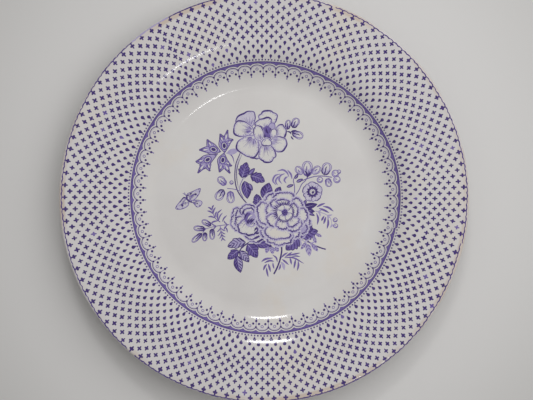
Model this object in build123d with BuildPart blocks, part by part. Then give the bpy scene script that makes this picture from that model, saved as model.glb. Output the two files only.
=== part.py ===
"""China dinner plate: a fired earthenware body, the printed transfers laid on it, and the glaze over both.

The plate lies face up. The origin is on its axis, at the level of the table that the foot ring stands on,
and +Z points up. Every sub-part is turned about Z from one section, apart from the two transfers that lie
on the flat floor of the well. Millimetres throughout.
"""

import os
from math import cos, radians, sin, tan

from build123d import *

os.makedirs("parts", exist_ok=True)

# ---- Driving dimensions ----

# Outside shape, glaze included
plate_radius = 130.0
floor_top = 8.0  # eating surface in the middle of the well
floor_thickness = 4.6
well_corner_radius = 75.0  # where the floor and the wall of the well would meet if the corner were sharp
well_corner_fillet = 24.0
wall_slope = 32.0  # degrees above level
shoulder_radius = 94.0  # where the wall and the rim would meet
shoulder_fillet = 35.0
rim_slope = 8.5
under_rim_slope = 10.5  # steeper than the face, so that the rim thins towards the lip
under_shoulder_fillet = 30.0
lip_thickness = 3.2
lip_fillet = 1.5

# Foot ring
foot_inner_radius = 68.3  # of the flat ring that touches the table
foot_outer_radius = 71.7
foot_draft = 24.0  # degrees that each side leans from upright
foot_edge_fillet = 0.7
foot_root_fillet = 1.4
foot_wiped_height = 0.9  # bare of glaze up to here

# Glaze and print
glaze_thickness = 0.25
print_thickness = 0.05
border_inner_radius = 76.2  # the border transfer covers the rim and the wall of the well
border_outer_radius = 129.3
border_joins = (-13.0, 122.0, 230.0)  # degrees round the plate, where one strip of tissue ends and the next starts
border_names = ("border_transfer_upper", "border_transfer_left", "border_transfer_lower")
tissue_corner_fillet = 3.0
# The tissue round the bouquet, cut out with scissors
bouquet_tissue = [
    (-0.2, 59.3), (28.3, 49.0), (28.9, 37.3), (24.5, 26.5), (42.5, 25.7), (52.9, 12.7), (50.9, -22.2),
    (42.5, -36.4), (11.5, -54.5), (-18.3, -50.6), (-50.0, -31.9), (-48.0, -19.6), (-32.5, -9.2),
    (-33.7, 10.7), (-48.0, 16.6), (-46.7, 30.9), (-25.4, 45.1), (-18.3, 55.4),
]
butterfly_centre = (-48.4, -0.8)
butterfly_radii = (11.0, 8.0)
butterfly_turn = 32.0

# ---- Worked out from them ----

wall_rise = tan(radians(wall_slope))
rim_rise = tan(radians(rim_slope))
under_rim_rise = tan(radians(under_rim_slope))
shoulder_top = floor_top + (shoulder_radius - well_corner_radius) * wall_rise
lip_top = shoulder_top + (plate_radius - shoulder_radius) * rim_rise
lip_bottom = lip_top - lip_thickness
base = floor_top - floor_thickness  # underside of the floor, inside the foot ring

# The underside of the wall runs parallel to its face, at the floor's thickness.
under_wall_radius = well_corner_radius + floor_thickness * sin(radians(wall_slope))
under_wall_height = floor_top - floor_thickness * cos(radians(wall_slope))
under_corner_radius = under_wall_radius - (under_wall_height - base) / wall_rise
under_corner_fillet = well_corner_fillet + floor_thickness
# The two underside lines, wall and rim, meet below the shoulder.
under_shoulder_radius = (
    lip_bottom - plate_radius * under_rim_rise - under_wall_height + under_wall_radius * wall_rise
) / (wall_rise - under_rim_rise)
under_shoulder_height = under_wall_height + (under_shoulder_radius - under_wall_radius) * wall_rise

foot_spread = (base + floor_thickness / 2) * tan(radians(foot_draft))  # of each side, at its root in the floor
foot_middle_radius = (foot_inner_radius + foot_outer_radius) / 2

beyond = 10.0  # how far construction shapes reach past the plate
past_axis = -beyond


# ---- Sections, in a plane with the radius along X and the height along Y ----


def keep_outside_axis():
    """Cuts the sketch off at the turning axis."""
    with Locations((0, -beyond)):
        Rectangle(
            plate_radius + beyond, lip_top + 2 * beyond, align=(Align.MIN, Align.MIN), mode=Mode.INTERSECT
        )


def whole_section(inset):
    """The plate's section with every outside face moved in by inset."""
    with BuildSketch() as section:
        with BuildLine():
            FilletPolyline(
                (past_axis, floor_top),
                (well_corner_radius, floor_top),
                (shoulder_radius, shoulder_top),
                (plate_radius, lip_top),
                (plate_radius, lip_bottom),
                (under_shoulder_radius, under_shoulder_height),
                (under_corner_radius, base),
                (past_axis, base),
                radius=[
                    well_corner_fillet,
                    shoulder_fillet,
                    lip_fillet,
                    lip_fillet,
                    under_shoulder_fillet,
                    under_corner_fillet,
                ],
            )
            Line((past_axis, base), (past_axis, floor_top))
        make_face()
        with BuildLine():
            Polyline(
                (foot_inner_radius, 0),
                (foot_outer_radius, 0),
                (foot_outer_radius + foot_spread, base + floor_thickness / 2),
                (foot_inner_radius - foot_spread, base + floor_thickness / 2),
                close=True,
            )
        make_face()
        fillet(section.vertices().group_by(Axis.Y)[0], foot_edge_fillet)
        inner_root = section.vertices().sort_by_distance((foot_inner_radius - foot_spread / 2, base))[0]
        fillet(inner_root, foot_root_fillet)
        outer_root = section.vertices().sort_by_distance((foot_outer_radius + foot_spread, base))[0]
        fillet(outer_root, foot_root_fillet)
        if inset:
            offset(amount=-inset)
        keep_outside_axis()
    return section.sketch


outside = whole_section(0)
under_glaze = whole_section(glaze_thickness)
over_print = whole_section(glaze_thickness - print_thickness)

with BuildSketch() as above_middle:
    # Everything above a line halfway through the floor, the wall and the rim
    with BuildLine():
        Polyline(
            (past_axis, (floor_top + base) / 2),
            ((well_corner_radius + under_corner_radius) / 2, (floor_top + base) / 2),
            ((shoulder_radius + under_shoulder_radius) / 2, (shoulder_top + under_shoulder_height) / 2),
            (plate_radius + beyond, (lip_top + lip_bottom) / 2 + beyond * rim_rise),
            (plate_radius + beyond, lip_top + beyond),
            (past_axis, lip_top + beyond),
            close=True,
        )
    make_face()

with BuildSketch() as body_section:
    add(outside)
    with Locations((foot_middle_radius, 0)):
        # The band of the foot ring that is wiped bare
        Rectangle(
            foot_outer_radius - foot_inner_radius + 2 * foot_wiped_height,
            2 * foot_wiped_height,
            mode=Mode.INTERSECT,
        )
    add(under_glaze)

with BuildSketch() as border_section:
    add(over_print)
    add(under_glaze, mode=Mode.SUBTRACT)
    add(above_middle.sketch, mode=Mode.INTERSECT)
    with Locations(((border_inner_radius + border_outer_radius) / 2, 0)):
        Rectangle(border_outer_radius - border_inner_radius, 4 * lip_top, mode=Mode.INTERSECT)

with BuildSketch() as glaze_section:
    add(outside)
    add(body_section.sketch, mode=Mode.SUBTRACT)
    add(border_section.sketch, mode=Mode.SUBTRACT)

with BuildSketch() as face_glaze_section:
    add(glaze_section.sketch)
    add(above_middle.sketch, mode=Mode.INTERSECT)

with BuildSketch() as back_glaze_section:
    add(glaze_section.sketch)
    add(above_middle.sketch, mode=Mode.SUBTRACT)
    with Locations((foot_middle_radius, 0)):
        Rectangle(plate_radius, 4 * lip_top, align=(Align.MIN, Align.CENTER), mode=Mode.INTERSECT)

with BuildSketch() as base_glaze_section:
    add(glaze_section.sketch)
    add(above_middle.sketch, mode=Mode.SUBTRACT)
    Rectangle(foot_middle_radius, 4 * lip_top, align=(Align.MIN, Align.CENTER), mode=Mode.INTERSECT)


# ---- Transfers on the floor of the well ----

with BuildSketch() as bouquet_outline:
    with BuildLine():
        Polyline(bouquet_tissue, close=True)
    make_face()
    fillet(bouquet_outline.vertices(), tissue_corner_fillet)

with BuildSketch() as butterfly_outline:
    with Locations(butterfly_centre):
        Ellipse(*butterfly_radii, rotation=butterfly_turn)

print_bottom = floor_top - glaze_thickness

with BuildPart() as bouquet_transfer:
    with BuildSketch(Plane.XY.offset(print_bottom)):
        add(bouquet_outline.sketch)
    extrude(amount=print_thickness)

with BuildPart() as butterfly_transfer:
    with BuildSketch(Plane.XY.offset(print_bottom)):
        add(butterfly_outline.sketch)
    extrude(amount=print_thickness)


# ---- Transfers round the rim: three strips that meet end to end ----


def radial_plane(angle):
    """The upright plane through the axis at that angle round the plate."""
    turn = radians(angle)
    return Plane(origin=(0, 0, 0), x_dir=(cos(turn), sin(turn), 0), z_dir=(sin(turn), -cos(turn), 0))


border_transfers = []
for index, start in enumerate(border_joins):
    end = border_joins[(index + 1) % len(border_joins)]
    with BuildPart() as strip:
        with BuildSketch(radial_plane(start)):
            add(border_section.sketch)
        revolve(axis=Axis.Z, revolution_arc=(end - start) % 360)
    border_transfers.append(strip)


# ---- Body and glaze ----


def turned(section):
    """The section turned all the way round the plate's axis."""
    with BuildPart() as part:
        with BuildSketch(radial_plane(0)):
            add(section)
        revolve(axis=Axis.Z)
    return part


plate_body = turned(body_section.sketch)
back_glaze = turned(back_glaze_section.sketch)
base_glaze = turned(base_glaze_section.sketch)

with BuildPart() as face_glaze:
    with BuildSketch(radial_plane(0)):
        add(face_glaze_section.sketch)
    revolve(axis=Axis.Z)
    # The glaze lies over the transfers, so its underside is hollowed by their thickness.
    with BuildSketch(Plane.XY.offset(print_bottom)):
        add(bouquet_outline.sketch)
        add(butterfly_outline.sketch)
    extrude(amount=print_thickness, mode=Mode.SUBTRACT)


# ---- Write each sub-part ----

named_parts = {
    "plate_body": plate_body,
    "face_glaze": face_glaze,
    "back_glaze": back_glaze,
    "base_glaze": base_glaze,
    "bouquet_transfer": bouquet_transfer,
    "butterfly_transfer": butterfly_transfer,
    **dict(zip(border_names, border_transfers)),
}

for name, piece in named_parts.items():
    piece.part.label = name
    export_step(piece.part, f"parts/{name}.step")
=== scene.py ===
"""Looks of the china dinner plate: the glazed surfaces, and the printed border, bouquet and butterfly.

Lengths in this script are in millimetres, in the CAD model's frame, until a mesh is made in metres. The
print is drawn flat, as seen from above, in painter's order. What is hidden is cut away, and the ink that is
left is laid on the glaze as thin closed slabs, so that every line of the print is real geometry.
"""

import random
from math import ceil, cos, hypot, pi, radians, sin, tan

import bpy
import numpy as np
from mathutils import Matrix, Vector
from mathutils.geometry import delaunay_2d_cdt


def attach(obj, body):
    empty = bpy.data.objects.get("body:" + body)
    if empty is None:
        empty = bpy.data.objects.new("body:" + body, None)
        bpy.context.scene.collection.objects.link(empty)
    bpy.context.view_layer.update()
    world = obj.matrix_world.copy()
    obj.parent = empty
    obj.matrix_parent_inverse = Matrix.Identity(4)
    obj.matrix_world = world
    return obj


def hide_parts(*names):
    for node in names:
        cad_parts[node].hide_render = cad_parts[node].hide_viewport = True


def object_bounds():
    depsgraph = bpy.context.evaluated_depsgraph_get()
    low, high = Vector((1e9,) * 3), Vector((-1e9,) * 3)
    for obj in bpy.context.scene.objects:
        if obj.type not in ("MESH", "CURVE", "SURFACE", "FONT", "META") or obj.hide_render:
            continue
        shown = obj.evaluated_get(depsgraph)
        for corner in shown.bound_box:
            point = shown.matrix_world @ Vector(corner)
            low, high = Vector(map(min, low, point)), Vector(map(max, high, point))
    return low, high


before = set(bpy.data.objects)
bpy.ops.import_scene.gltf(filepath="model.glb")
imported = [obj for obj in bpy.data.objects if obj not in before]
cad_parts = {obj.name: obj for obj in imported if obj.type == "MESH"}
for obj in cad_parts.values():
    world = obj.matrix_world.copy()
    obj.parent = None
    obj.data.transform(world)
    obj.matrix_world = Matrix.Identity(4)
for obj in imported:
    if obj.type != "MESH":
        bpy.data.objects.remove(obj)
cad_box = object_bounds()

MM = 0.001

# ---- The plate's section, as in the CAD model ----

PLATE_RADIUS = cad_box[1][0] / MM
FLOOR_TOP = 8.0
FLOOR_THICKNESS = 4.6
WELL_CORNER, WELL_ROUND = 75.0, 24.0
WALL_SLOPE = radians(32.0)
SHOULDER, SHOULDER_ROUND = 94.0, 35.0
RIM_SLOPE = radians(8.5)
UNDER_RIM_SLOPE = radians(10.5)
UNDER_SHOULDER_ROUND = 30.0
LIP_THICKNESS, LIP_ROUND = 3.2, 1.5
LIP_MIDDLE = 1.85  # below the lip's upper corner, where its edge is upright
FOOT_INNER, FOOT_OUTER = 68.3, 71.7
FOOT_DRAFT = radians(24.0)
FOOT_ROOT_ROUND = 1.4
FOOT_WIPED = 0.9  # how high the foot ring is bare of glaze
GLAZE = 0.25

# ---- The border print ----

# Of each strip, in degrees: its first and last angle, an outermost spot and the spots' pitch, and a pendant
# and the pendants' pitch
STRIPS = {
    "border_transfer_upper": (-13.0, 122.0, -10.45, 3.375, -10.3, 5.595),
    "border_transfer_left": (122.0, 230.0, 124.0, 3.490, 123.45, 5.765),
    "border_transfer_lower": (230.0, 347.0, 232.05, 3.396, 233.2, 5.520),
}
# How far outwards each strip lies at some angles, because tissue isn't laid quite true
ASKEW = {
    "border_transfer_upper": ((-13, -0.15), (10, -0.15), (45, -0.5), (80, 0.0), (114, 0.55), (122, 0.4)),
    "border_transfer_left": ((122, 0.4), (142, -0.05), (165, -0.75), (187, -1.05), (205, -0.8), (230, 0.1)),
    "border_transfer_lower": ((230, 0.1), (262, 0.2), (292, 0.6), (308, 0.5), (322, 0.0), (347, -1.0)),
}
# How much larger than drawn each strip's spots came out
PRESS = {"border_transfer_upper": 1.03, "border_transfer_left": 1.1, "border_transfer_lower": 1.09}
SPOT_RINGS = 13
CROSS_RINGS = 9  # the outer rings' spots are crosses, and the others' are drops
JOIN_GAP = 0.2  # degrees, the nearest that a spot comes to a strip's end
OUTER_SPOTS, SPOT_STEP = 126.9, 3.035
CROSS_HALF, DROP_HALF = (1.42, 1.65), (0.98, 1.0)  # half of a spot's width and height
DEEP_SPOTS, DEEP_BEADS = 0.97, 0.9  # the part of them that printed in full strength
EDGE_LINE = 128.9
EDGE_SMEARED = (118.0, 130.5)  # degrees, where the edge line is smeared
EDGE_LOST = ((69.5, 70.3), (227.8, 230.5))  # degrees, where it is missing
BEADS = 88.2
BAND_OUTER, BAND_CREST, BAND_FOOT = 87.25, 85.95, 84.75
ARCH_CREST, ARCH_FOOT = 85.1, 83.3

PRINT_PROUD, PRINT_SUNK = 0.04, 0.05  # how far the ink's top and bottom are from the glaze's surface
SLIVER = 0.002  # a triangle of a drawn line that is thinner than this is left out
MERGED, CUT_MERGED = 1e-4, 1e-7  # points nearer than this become one, as the print is cut and cut anew


# ---- Curves ----


def smooth(points, closed=False, spans=6):
    """A Catmull-Rom curve through the points."""
    points = np.array(points, float)
    if closed:
        padded = np.vstack([points[-1:], points, points[:2]])
    else:
        padded = np.vstack([2 * points[0] - points[1], points, 2 * points[-1] - points[-2]])
    t = np.linspace(0, 1, spans, endpoint=False)[:, None]
    runs = []
    for a, b, c, d in zip(padded, padded[1:], padded[2:], padded[3:]):
        runs.append(b + t / 2 * (c - a + t * (2 * a - 5 * b + 4 * c - d + t * (3 * (b - c) + d - a))))
    if not closed:
        runs.append(points[-1:])
    return np.vstack(runs)


def ellipse(centre, radii, turn=0.0, count=20):
    """A closed ellipse, turned by that many degrees."""
    t = np.arange(count) / count * 2 * pi
    x, y = radii[0] * np.cos(t), radii[1] * np.sin(t)
    c, s = cos(radians(turn)), sin(radians(turn))
    return np.column_stack([centre[0] + c * x - s * y, centre[1] + s * x + c * y])


def heading(turn):
    """The unit direction at that many degrees from +X."""
    return np.array([cos(radians(turn)), sin(radians(turn))])


def between(base, tip, half_width):
    """A function that places (u, v), with u from 0 at base to 1 at tip and v from -1 to 1 across."""
    base, tip = np.array(base, float), np.array(tip, float)
    along = tip - base
    across = np.array([-along[1], along[0]]) / hypot(*along) * half_width
    return lambda u, v: base + np.outer(u, along) + np.outer(v, across)


def twice_area(a, b, c):
    """Twice a triangle's area, which is above 0 where its corners run anticlockwise."""
    return (b[0] - a[0]) * (c[1] - a[1]) - (c[0] - a[0]) * (b[1] - a[1])


def inside(points, outline):
    """Whether each point is inside the outline."""
    held = np.zeros(len(points), bool)
    x, y = points[:, 0], points[:, 1]
    for (ax, ay), (bx, by) in zip(outline, np.roll(outline, -1, axis=0)):
        if ay != by:
            held ^= ((ay > y) != (by > y)) & (x < ax + (bx - ax) * (y - ay) / (by - ay))
    return held


def rounded(corners, radii, step=0.6):
    """The path through the corners, each inner corner rounded to its radius."""
    path = [np.array(corners[0], float)]
    for before, corner, after, radius in zip(corners, corners[1:], corners[2:], radii):
        before, corner, after = (np.array(p, float) for p in (before, corner, after))
        back = (before - corner) / hypot(*(before - corner))
        on = (after - corner) / hypot(*(after - corner))
        half = np.arccos(np.clip(back @ on, -1, 1)) / 2
        middle = back + on
        centre = corner + middle / hypot(*middle) * radius / sin(half)
        first = corner + back * radius / tan(half) - centre
        sweep = pi - 2 * half
        if back[0] * on[1] - back[1] * on[0] > 0:
            sweep = -sweep
        count = max(4, ceil(radius * abs(sweep) / step))
        for k in range(count + 1):
            c, s = cos(sweep * k / count), sin(sweep * k / count)
            path.append(centre + (c * first[0] - s * first[1], s * first[0] + c * first[1]))
    path.append(np.array(corners[-1], float))
    return np.array(path)


def divided(path, step):
    """The path with its long runs divided."""
    pieces = []
    for a, b in zip(path, path[1:]):
        count = max(1, ceil(hypot(*(b - a)) / step))
        pieces.append(a + np.outer(np.arange(count) / count, b - a))
    return np.vstack(pieces + [path[-1:]])


# ---- The plate's surfaces ----


def outside_sections():
    """The outline of the face, of the back outside the foot ring, and of the base inside it."""
    shoulder_top = FLOOR_TOP + (SHOULDER - WELL_CORNER) * tan(WALL_SLOPE)
    lip_top = shoulder_top + (PLATE_RADIUS - SHOULDER) * tan(RIM_SLOPE)
    lip_bottom = lip_top - LIP_THICKNESS
    lip_middle = (PLATE_RADIUS, lip_top - LIP_MIDDLE)
    well_corner, shoulder = (WELL_CORNER, FLOOR_TOP), (SHOULDER, shoulder_top)
    face = rounded(
        [(0, FLOOR_TOP), well_corner, shoulder, (PLATE_RADIUS, lip_top), lip_middle],
        [WELL_ROUND, SHOULDER_ROUND, LIP_ROUND],
    )

    base = FLOOR_TOP - FLOOR_THICKNESS
    wall_radius = WELL_CORNER + FLOOR_THICKNESS * sin(WALL_SLOPE)
    wall_height = FLOOR_TOP - FLOOR_THICKNESS * cos(WALL_SLOPE)
    corner_radius = wall_radius - (wall_height - base) / tan(WALL_SLOPE)
    rise, rim_rise = tan(WALL_SLOPE), tan(UNDER_RIM_SLOPE)
    under = (lip_bottom - PLATE_RADIUS * rim_rise - wall_height + wall_radius * rise) / (rise - rim_rise)
    under_height = wall_height + (under - wall_radius) * rise
    back = rounded(
        [lip_middle, (PLATE_RADIUS, lip_bottom), (under, under_height), (corner_radius, base), (0, base)],
        [LIP_ROUND, UNDER_SHOULDER_ROUND, WELL_ROUND + FLOOR_THICKNESS],
    )

    # Where the underside meets the foot ring's outer side
    lean = tan(FOOT_DRAFT)
    clear = back[:, 0] - FOOT_OUTER - back[:, 1] * lean
    last = np.nonzero(clear > 0)[0][-1]
    part = clear[last] / (clear[last] - clear[last + 1])
    meeting = back[last] + part * (back[last + 1] - back[last])
    outer_wiped = (FOOT_OUTER + FOOT_WIPED * lean, FOOT_WIPED)
    inner_wiped = (FOOT_INNER - FOOT_WIPED * lean, FOOT_WIPED)
    inner_root = (FOOT_INNER - base * lean, base)
    kept = back[back[:, 0] > meeting[0] + 1.0]
    back = np.vstack([kept[:-1], rounded([kept[-1], meeting, outer_wiped], [FOOT_ROOT_ROUND], 0.2)])
    underneath = rounded([inner_wiped, inner_root, (0, base)], [FOOT_ROOT_ROUND], 0.2)
    return face, back, underneath


def ripple(x, y):
    """How far the glaze's surface wanders from the true section: gathered a little, and never quite flat."""
    broad = np.sin(x / 9.1 + 1.3 * np.sin(y / 13.7)) * np.cos(y / 8.3 - 0.9 * np.sin(x / 17.0))
    fine = np.sin(x / 3.3 + y / 4.9) * np.sin(y / 3.7 - x / 6.1)
    on_rim = np.clip((np.hypot(x, y) - SHOULDER) / 8.0, 0.0, 1.0)
    return 0.008 * broad + (0.0008 + 0.007 * on_rim) * fine


FACE_PATH, BACK_PATH, BASE_PATH = outside_sections()


def face_height(x, y):
    """Height of the glaze's surface on the face."""
    rising = FACE_PATH[: int(np.argmax(FACE_PATH[:, 1])) + 1]
    return np.interp(np.hypot(x, y), rising[:, 0], rising[:, 1]) + ripple(x, y)


def make_mesh(name, vertices, faces, smooth_angle=None):
    """A mesh object, from millimetres."""
    mesh = bpy.data.meshes.new(name)
    mesh.from_pydata([tuple(v) for v in np.asarray(vertices) * MM], [], faces)
    mesh.validate()
    if smooth_angle:
        mesh.shade_smooth()
        mesh.set_sharp_from_angle(angle=radians(smooth_angle))
    made = bpy.data.objects.new(name, mesh)
    bpy.context.scene.collection.objects.link(made)
    return made


def turned_shell(name, path, thickness, rippled, segments=640, step=3.0):
    """A closed skin of that thickness, turned about Z. Its outside follows the path."""
    outer = divided(path, step)
    inner_path = np.vstack([path[0:1], path[1:-1:3], path[-1:]])  # coarser, because the inside isn't seen
    run = np.gradient(inner_path, axis=0)
    run /= np.hypot(run[:, 0], run[:, 1])[:, None]
    inner = inner_path + thickness * np.column_stack([run[:, 1], -run[:, 0]])
    inner[:, 0] = np.where(inner_path[:, 0] == 0, 0, np.maximum(inner[:, 0], 0))
    section = np.vstack([outer, inner[::-1]])
    turn = np.arange(segments) / segments * 2 * pi
    vertices, rows = [], []
    for number, (radius, height) in enumerate(section):
        start = len(vertices)
        if radius < 1e-6:
            vertices.append((0, 0, height + (ripple(0, 0) if rippled and number < len(outer) else 0)))
            rows.append([start] * segments)
            continue
        x, y = radius * np.cos(turn), radius * np.sin(turn)
        z = np.full(segments, height)
        if rippled and number < len(outer):
            z = z + ripple(x, y)
        vertices.extend(zip(x, y, z))
        rows.append(list(range(start, start + segments)))
    faces = []
    for row, after in zip(rows, rows[1:] + rows[:1]):
        for k in range(segments):
            corners = [row[k], row[(k + 1) % segments], after[(k + 1) % segments], after[k]]
            face = [c for i, c in enumerate(corners) if c not in corners[:i]]
            if len(face) > 2:
                faces.append(face[::-1])
    return make_mesh(name, vertices, faces, smooth_angle=40)


# ---- Drawing the print ----


class Drawing:
    """Shapes on one piece of tissue. Each later shape covers the ones before it, and None is bare paper."""

    def __init__(self, seed):
        self.random = random.Random(seed)
        self.points = []
        self.faces = []
        self.inks = []  # of each face

    def area(self, outline, ink):
        """A filled outline."""
        outline = np.asarray(outline, float)
        after = np.roll(outline, -1, axis=0)
        if (outline[:, 0] * after[:, 1] - after[:, 0] * outline[:, 1]).sum() < 0:
            outline = outline[::-1]
        start = len(self.points)
        self.points.extend(outline)
        self.faces.append(list(range(start, len(self.points))))
        self.inks.append(ink)

    def ribbon(self, left, right, ink):
        """The strip between two rows of points, as triangles, so that a tight turn can't cross itself."""
        start, count = len(self.points), len(left)
        points = np.vstack([left, right])
        self.points.extend(points)
        for k in range(count - 1):
            for corners in ([k, k + 1, count + k + 1], [k, count + k + 1, count + k]):
                a, b, c = points[corners]
                area = twice_area(a, b, c)
                if abs(area) > SLIVER * max(hypot(*(b - a)), hypot(*(c - b)), hypot(*(a - c))):
                    order = corners if area > 0 else corners[::-1]
                    self.faces.append([start + i for i in order])
                    self.inks.append(ink)

    def line(self, points, width, ink, closed=False):
        """A drawn line. The width may be one number or one for each point."""
        points = np.asarray(points, float)
        if closed:
            points = np.vstack([points, points[:1]])
            run = np.roll(points[:-1], -1, axis=0) - np.roll(points[:-1], 1, axis=0)
            run = np.vstack([run, run[:1]])
        else:
            run = np.gradient(points, axis=0)
        run /= np.maximum(np.hypot(run[:, 0], run[:, 1]), 1e-9)[:, None]
        across = np.column_stack([-run[:, 1], run[:, 0]])
        offset = across * np.reshape(np.broadcast_to(width, len(points)), (-1, 1)) / 2
        self.ribbon(points + offset, points - offset, ink)

    def dash(self, points, width, ink, spans=4):
        """A pen stroke through the points, which swells and fades to a thin end."""
        path = smooth(points, spans=spans)
        t = np.linspace(0, 1, len(path))
        self.line(path, width * np.clip(0.25 + 2.2 * t, 0, 1) * np.clip(0.2 + 2.6 * (1 - t), 0, 1), ink)

    def seen(self, points):
        """The numbers of the faces that no later face hides whole."""
        hidden = np.zeros(len(self.faces), bool)
        triangles = np.array([k for k, face in enumerate(self.faces) if len(face) == 3])
        corners = points[[self.faces[k] for k in triangles]]
        for number, face in enumerate(self.faces):
            if len(face) > 3:
                outline = points[face]
                low, high = outline.min(axis=0), outline.max(axis=0)
                near = (triangles < number) & ~hidden[triangles]
                near &= ((corners > low) & (corners < high)).all(axis=(1, 2))
                if near.any():
                    held = inside(corners[near].reshape(-1, 2), outline).reshape(-1, 3).all(axis=1)
                    hidden[triangles[near][held]] = True
        return np.nonzero(~hidden)[0]

    def inked(self):
        """The points, and the triangles of each ink, after what is hidden is cut away."""
        given = np.array(self.points)
        seen = self.seen(given)
        used = np.unique(np.concatenate([self.faces[k] for k in seen]))
        faces = [np.searchsorted(used, self.faces[k]).tolist() for k in seen]
        given = given[used]
        corners = [Vector(p) for p in given]
        points, _, triangles, _, _, owners = delaunay_2d_cdt(corners, [], faces, 1, MERGED)
        points = np.array([tuple(p) for p in points])
        middles = points[np.array([list(t) for t in triangles])].mean(axis=1)

        # A face can spill past its outline where outlines nearly touch, so spilt ones are tested again.
        pairs = np.array([(t, o) for t, held in enumerate(owners) for o in held])
        low = np.array([given[f].min(axis=0) for f in faces])[pairs[:, 1]]
        high = np.array([given[f].max(axis=0) for f in faces])[pairs[:, 1]]
        spilt = ((middles[pairs[:, 0]] < low) | (middles[pairs[:, 0]] > high)).any(axis=1)
        good = ~np.isin(pairs[:, 1], pairs[spilt, 1])
        for owner in set(pairs[spilt, 1]):
            own = np.nonzero(pairs[:, 1] == owner)[0]
            good[own] = inside(middles[pairs[own, 0]], given[faces[owner]])
        top = np.full(len(triangles), -1)
        np.maximum.at(top, pairs[good, 0], pairs[good, 1])

        kept = {}
        for triangle, owner in zip(triangles, top):
            ink = self.inks[seen[owner]] if owner >= 0 else None
            if ink is not None:
                turned = triangle if twice_area(*points[triangle]) >= 0 else triangle[::-1]
                kept.setdefault(ink, []).append(list(turned))
        return points, kept


def sides_of(face):
    """The face's sides, each as its first and its second corner."""
    return zip(face, face[1:] + face[:1])


def rim_sides(faces):
    """The sides that only one face has, in that face's direction."""
    sides = {side for face in faces for side in sides_of(face)}
    return sorted(side for side in sides if side[::-1] not in sides)


def cut_anew(points, triangles):
    """The region that the triangles cover, cut from its rim alone, as points and fewer triangles.

    The cut also fills the gaps between regions, so only the cells that a walk from the rim's inner side
    reaches are kept.
    """
    rim = rim_sides(triangles)
    used = sorted({i for side in rim for i in side})
    place = {old: new for new, old in enumerate(used)}
    edges = [(place[a], place[b]) for a, b in rim]
    corners = [Vector(points[i]) for i in used]
    made, _, cells, origins, _, _ = delaunay_2d_cdt(corners, edges, [], 0, CUT_MERGED)
    new_place = {old: new for new, held in enumerate(origins) for old in held}
    made = np.array([tuple(p) for p in made])
    owner = {}
    for number, cell in enumerate(cells):
        cells[number] = list(cell if twice_area(*made[cell]) >= 0 else cell[::-1])
        owner.update((side, number) for side in sides_of(cells[number]))
    walls = {(new_place[a], new_place[b]) for a, b in edges}
    held = {owner[side] for side in walls if side in owner}
    open_cells = list(held)
    while open_cells:
        for side in sides_of(cells[open_cells.pop()]):
            beyond = owner.get(side[::-1])
            if side not in walls and side[::-1] not in walls and beyond is not None and beyond not in held:
                held.add(beyond)
                open_cells.append(beyond)
    return made, [cells[number] for number in sorted(held)]


def lay_print(drawing, name, node):
    """Lays a drawing's inks on the glaze, each as one piece that stands for the CAD transfer."""
    all_points, kept = drawing.inked()
    for ink, triangles in sorted(kept.items()):
        flat, faces = cut_anew(all_points, triangles)
        height = face_height(flat[:, 0], flat[:, 1])
        top = np.column_stack([flat, height + PRINT_PROUD])
        bottom = np.column_stack([flat, height - PRINT_SUNK])
        count = len(flat)
        walls = [[b, a, a + count, b + count] for a, b in rim_sides(faces)]
        under = [[i + count for i in f[::-1]] for f in faces]
        piece = make_mesh(f"{name}_{ink}", np.vstack([top, bottom]), faces + under + walls)
        piece.data.materials.append(ink_material(ink))
        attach(piece, "root")
        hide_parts(node)


# ---- Materials ----


def new_material(name):
    """A material with its node tree cleared to a Principled shader."""
    material = bpy.data.materials.new(name)
    material.use_nodes = True
    tree = material.node_tree
    tree.nodes.clear()
    shader = tree.nodes.new("ShaderNodeBsdfPrincipled")
    output = tree.nodes.new("ShaderNodeOutputMaterial")
    tree.links.new(shader.outputs["BSDF"], output.inputs["Surface"])
    return material, tree, shader


def linear(red, green, blue):
    """A colour from its sRGB bytes."""
    parts = [v / 255 for v in (red, green, blue)]
    return tuple(v / 12.92 if v <= 0.04045 else ((v + 0.055) / 1.055) ** 2.4 for v in parts) + (1.0,)


def over_object(tree, kind):
    """A new node of that kind, over the object's own coordinates in metres."""
    place = tree.nodes.new("ShaderNodeTexCoord")
    node = tree.nodes.new(kind)
    tree.links.new(place.outputs["Object"], node.inputs["Vector"])
    return node


def noise(tree, scale, detail, roughness=0.55):
    """Noise with scale in waves per metre."""
    node = over_object(tree, "ShaderNodeTexNoise")
    node.inputs["Scale"].default_value = scale
    node.inputs["Detail"].default_value = detail
    node.inputs["Roughness"].default_value = roughness
    return node.outputs["Fac"]


def ramp(tree, value, stops):
    """The value through a ramp of two (position, colour) stops."""
    node = tree.nodes.new("ShaderNodeValToRGB")
    for element, (position, colour) in zip(node.color_ramp.elements, stops):
        element.position = position
        element.color = colour
    tree.links.new(value, node.inputs["Fac"])
    return node.outputs["Color"]


def mixed(tree, factor, first, second):
    """Two colours mixed by a factor."""
    node = tree.nodes.new("ShaderNodeMix")
    node.data_type = "RGBA"
    tree.links.new(factor, node.inputs[0])
    for socket, colour in ((node.inputs[6], first), (node.inputs[7], second)):
        if isinstance(colour, tuple):
            socket.default_value = colour
        else:
            tree.links.new(colour, socket)
    return node.outputs[2]


def map_range(tree, value, from_low, from_high, to_low, to_high):
    """The value mapped from one range to another, and clamped."""
    node = tree.nodes.new("ShaderNodeMapRange")
    node.inputs["From Min"].default_value = from_low
    node.inputs["From Max"].default_value = from_high
    node.inputs["To Min"].default_value = to_low
    node.inputs["To Max"].default_value = to_high
    tree.links.new(value, node.inputs["Value"])
    return node.outputs["Result"]


def worked(tree, operation, first, second):
    """Two values multiplied, added or otherwise worked together."""
    node = tree.nodes.new("ShaderNodeMath")
    node.operation = operation
    tree.links.new(first, node.inputs[0])
    tree.links.new(second, node.inputs[1])
    return node.outputs[0]


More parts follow.
